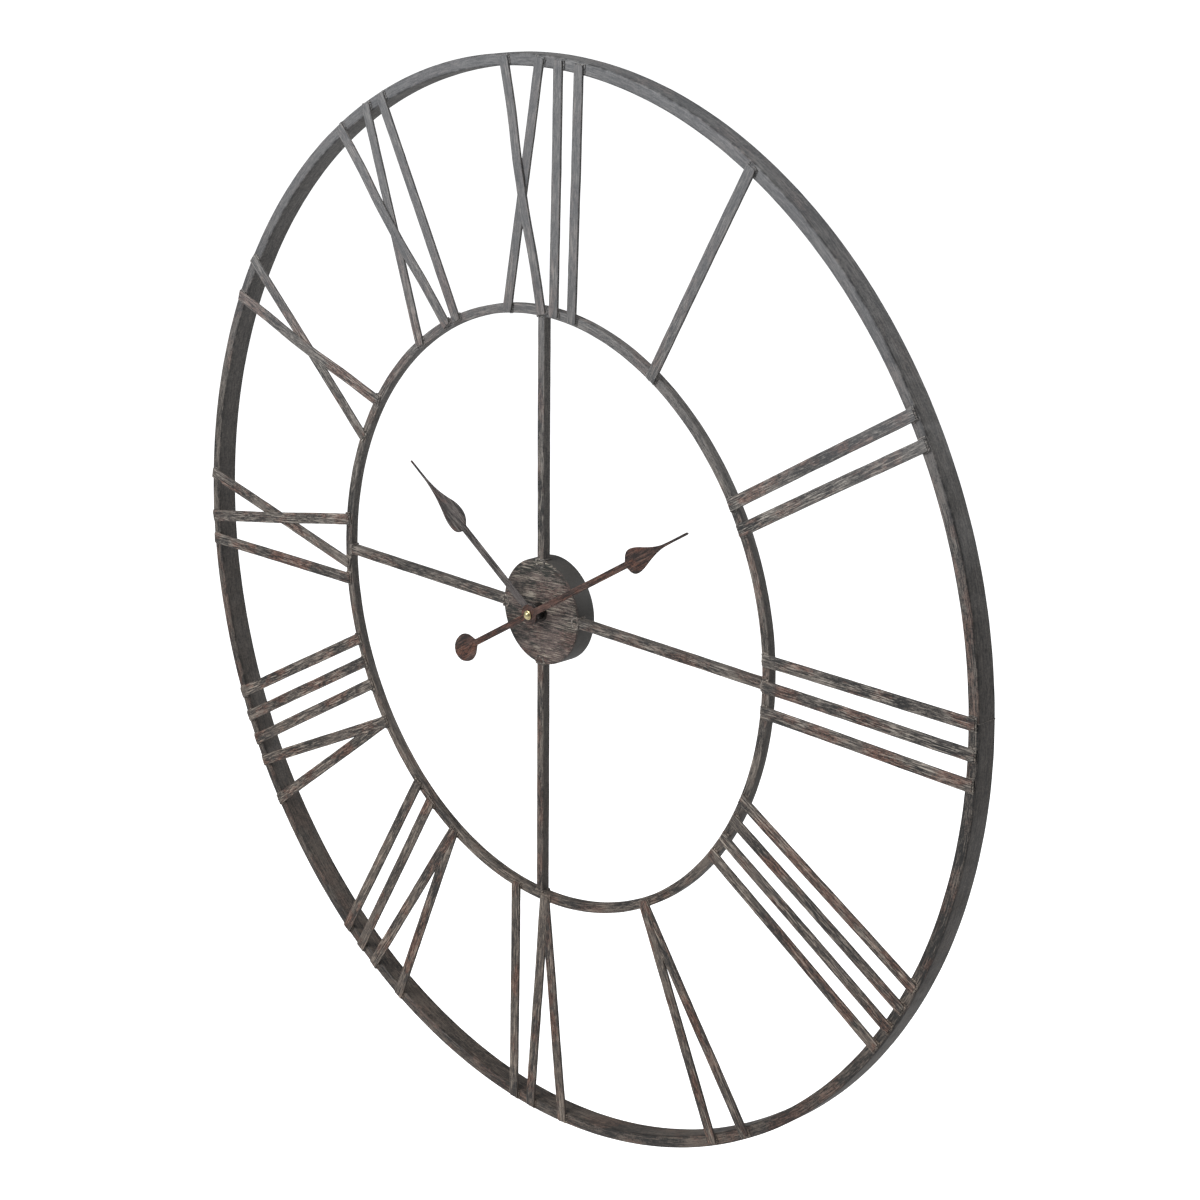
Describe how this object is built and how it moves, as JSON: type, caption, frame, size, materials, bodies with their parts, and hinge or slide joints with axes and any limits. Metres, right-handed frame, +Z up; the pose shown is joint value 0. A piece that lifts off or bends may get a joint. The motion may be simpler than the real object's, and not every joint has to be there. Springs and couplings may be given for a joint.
{
  "type": "wall clock",
  "caption": "Large open-frame wall clock: two iron rings joined by Roman numerals made of flat bars, four spokes, a central drum with a quartz movement, and spade hands.",
  "frame": {"origin": "centre of the hanging hole at the wall, 39 mm above the dial axis", "axes": "+Z up, +Y into the wall, so the dial faces -Y; +X towards 3 o'clock"},
  "size_m": [1, 0.0394, 1],
  "materials": {
    "worn_iron_paint": "graphite paint, dry brushed with silver and flecked with rust",
    "rusted_iron": "dark red-brown rust under worn paint",
    "blackened_steel": "blackened steel",
    "brass": "turned brass",
    "black_plastic": "moulded, fine matt texture",
    "rubber": "matt",
    "battery_jacket": "shrink jacket over a steel can",
    "plated_steel": "nickel plated",
    "copper_wire": "enamelled wire, close wound",
    "circuit_laminate": "solder mask",
    "chip_resin": "cured resin",
    "grey_plastic": "moulded",
    "white_plastic": "moulded acetal"
  },
  "bodies": {
    "frame": {"battery": "battery_jacket", "circuit_board": "circuit_laminate", "coil_bobbin": "white_plastic", "coil_core": "plated_steel", "coil_winding": "copper_wire", "contact_negative": "plated_steel", "contact_positive": "plated_steel", "driver_chip": "chip_resin", "hanger_plate": "worn_iron_paint", "hub_face": "worn_iron_paint", "hub_rim": "worn_iron_paint", "inner_ring": "worn_iron_paint", "movement_back_cover": "black_plastic", "movement_case": "black_plastic", "movement_nut": "blackened_steel", "numeral_i": "worn_iron_paint", "numeral_ii": "worn_iron_paint", "numeral_iii": "worn_iron_paint", "numeral_iiii": "worn_iron_paint", "numeral_ix": "worn_iron_paint", "numeral_v": "worn_iron_paint", "numeral_vi": "worn_iron_paint", "numeral_vii": "worn_iron_paint", "numeral_viii": "worn_iron_paint", "numeral_x": "worn_iron_paint", "numeral_xi": "worn_iron_paint", "numeral_xii": "worn_iron_paint", "outer_ring": "worn_iron_paint", "quartz_crystal": "plated_steel", "rubber_washer": "rubber", "spoke_bottom": "worn_iron_paint", "spoke_left": "worn_iron_paint", "spoke_right": "worn_iron_paint", "spoke_top": "worn_iron_paint", "stator": "plated_steel", "steel_washer": "blackened_steel"},
    "minute": {"minute_hand": "rusted_iron", "minute_arbor": "brass", "clutch_spring": "plated_steel", "hand_nut": "brass"},
    "hour": {"hour_hand": "worn_iron_paint", "hour_wheel": "white_plastic"},
    "setting": {"reduction_wheel": "white_plastic", "set_knob": "grey_plastic"},
    "centre": {"centre_wheel": "white_plastic"},
    "third": {"third_wheel": "white_plastic"},
    "second": {"second_wheel": "white_plastic"},
    "intermediate": {"intermediate_wheel": "white_plastic"},
    "rotor": {"rotor_pinion": "white_plastic", "rotor_magnet": "plated_steel"}
  },
  "joints": [
    {"name": "minute_hand_spin", "type": "hinge", "parent": "frame", "child": "minute", "pos_m": [0, 0, -0.039], "axis": [0, 1, 0], "continuous": true},
    {"name": "hour_hand_spin", "type": "hinge", "parent": "frame", "child": "hour", "pos_m": [0, 0, -0.039], "axis": [0, 1, 0], "continuous": true},
    {"name": "setting_spin", "type": "hinge", "parent": "frame", "child": "setting", "pos_m": [0.00273, 0, -0.04918], "axis": [0, 1, 0], "continuous": true},
    {"name": "second_spin", "type": "hinge", "parent": "frame", "child": "second", "pos_m": [0.01428, 0, -0.03272], "axis": [0, 1, 0], "continuous": true},
    {"name": "intermediate_spin", "type": "hinge", "parent": "frame", "child": "intermediate", "pos_m": [0.01716, 0, -0.04064], "axis": [0, 1, 0], "continuous": true},
    {"name": "rotor_spin", "type": "hinge", "parent": "frame", "child": "rotor", "pos_m": [0.01853, 0, -0.04839], "axis": [0, 1, 0], "continuous": true},
    {"name": "third_spin", "type": "hinge", "parent": "frame", "child": "third", "pos_m": [0.00505, 0, -0.03025], "axis": [0, 1, 0], "continuous": true},
    {"name": "centre_spin", "type": "hinge", "parent": "frame", "child": "centre", "pos_m": [0, 0, -0.039], "axis": [0, 1, 0], "continuous": true}
  ],
  "couplings": [
    {"joint": "hour_hand_spin", "follows": "minute_hand_spin", "ratio": 0.083333},
    {"joint": "setting_spin", "follows": "minute_hand_spin", "ratio": -0.33333},
    {"joint": "intermediate_spin", "follows": "second_spin", "ratio": -5},
    {"joint": "rotor_spin", "follows": "second_spin", "ratio": 30},
    {"joint": "third_spin", "follows": "second_spin", "ratio": -0.13333},
    {"joint": "centre_spin", "follows": "second_spin", "ratio": 0.016667}
  ]
}
